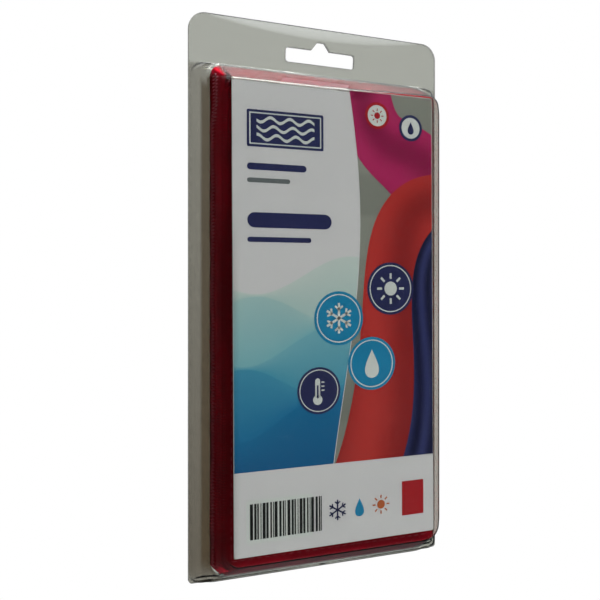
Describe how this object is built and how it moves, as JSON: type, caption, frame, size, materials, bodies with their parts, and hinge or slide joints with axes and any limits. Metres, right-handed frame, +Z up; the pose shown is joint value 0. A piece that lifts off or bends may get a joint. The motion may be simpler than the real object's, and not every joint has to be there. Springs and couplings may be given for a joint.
{
  "type": "insulin cooling case in a hang pack",
  "caption": "Dark red fabric cooling wallet for insulin pens with a flap and an inner gel pouch, in a clear hinged hang pack with a euro slot and a printed insert card.",
  "frame": {"origin": "top of the hang slot's peak, in the plane where the two shells meet", "axes": "+Z up along the pack's height, +X to the viewer's right, the clear flat face towards -Y"},
  "size_m": [0.1156, 0.0204, 0.232],
  "materials": {
    "clear_sheet": "clear thermoformed PET sheet, glossy, slightly smoky",
    "printed_card": "coated printed card, semi-gloss",
    "leaflet_paper": "uncoated folded paper, matt",
    "red_cover_cloth": "dark red woven polyester, matt with a soft sheen",
    "touch_fastener": "black hook and loop tape, matt",
    "label_weave": "blank woven satin label",
    "pouch_cloth": "thin poly-cotton, matt",
    "gel_crystals": "dry water-absorbing granules in a quilted channel"
  },
  "bodies": {
    "rear_half": {"rear_shell": "clear_sheet", "fold_hinge": "clear_sheet", "instruction_leaflet": "leaflet_paper", "cover_back_panel": "red_cover_cloth", "cover_front_panel": "red_cover_cloth", "left_gusset": "red_cover_cloth", "right_gusset": "red_cover_cloth", "bottom_gusset": "red_cover_cloth", "loop_strip": "touch_fastener", "pouch_back_panel": "pouch_cloth", "pouch_back_lining": "pouch_cloth", "pouch_front_lining": "pouch_cloth", "pouch_front_panel": "pouch_cloth", "pouch_bottom_seam": "pouch_cloth", "pouch_left_seam": "pouch_cloth", "pouch_right_seam": "pouch_cloth", "back_gel_pad_1": "gel_crystals", "back_gel_pad_2": "gel_crystals", "back_gel_pad_3": "gel_crystals", "back_gel_pad_4": "gel_crystals", "front_gel_pad_1": "gel_crystals", "front_gel_pad_2": "gel_crystals", "front_gel_pad_3": "gel_crystals", "front_gel_pad_4": "gel_crystals"},
    "front_half": {"front_shell": "clear_sheet", "insert_card": "printed_card"},
    "flap_top": {"flap_spine": "red_cover_cloth"},
    "flap_front": {"flap_panel": "red_cover_cloth", "flap_hem": "red_cover_cloth", "hook_strip": "touch_fastener", "woven_label": "label_weave"}
  },
  "joints": [
    {"name": "front_shell_open", "type": "hinge", "parent": "rear_half", "child": "front_half", "pos_m": [0, 0.00015, -0.22545], "axis": [1, 0, 0], "range_deg": [0, 180]},
    {"name": "flap_back_crease", "type": "hinge", "parent": "rear_half", "child": "flap_top", "pos_m": [0, -0.0036, -0.01692], "axis": [-1, 0, 0], "range_deg": [0, 117]},
    {"name": "flap_front_crease", "type": "hinge", "parent": "flap_top", "child": "flap_front", "pos_m": [0, -0.01745, -0.02413], "axis": [-1, 0, 0], "range_deg": [0, 63]}
  ],
  "couplings": [
    {"joint": "flap_back_crease", "follows": "front_shell_open", "ratio": 0.65},
    {"joint": "flap_front_crease", "follows": "front_shell_open", "ratio": 0.35}
  ]
}
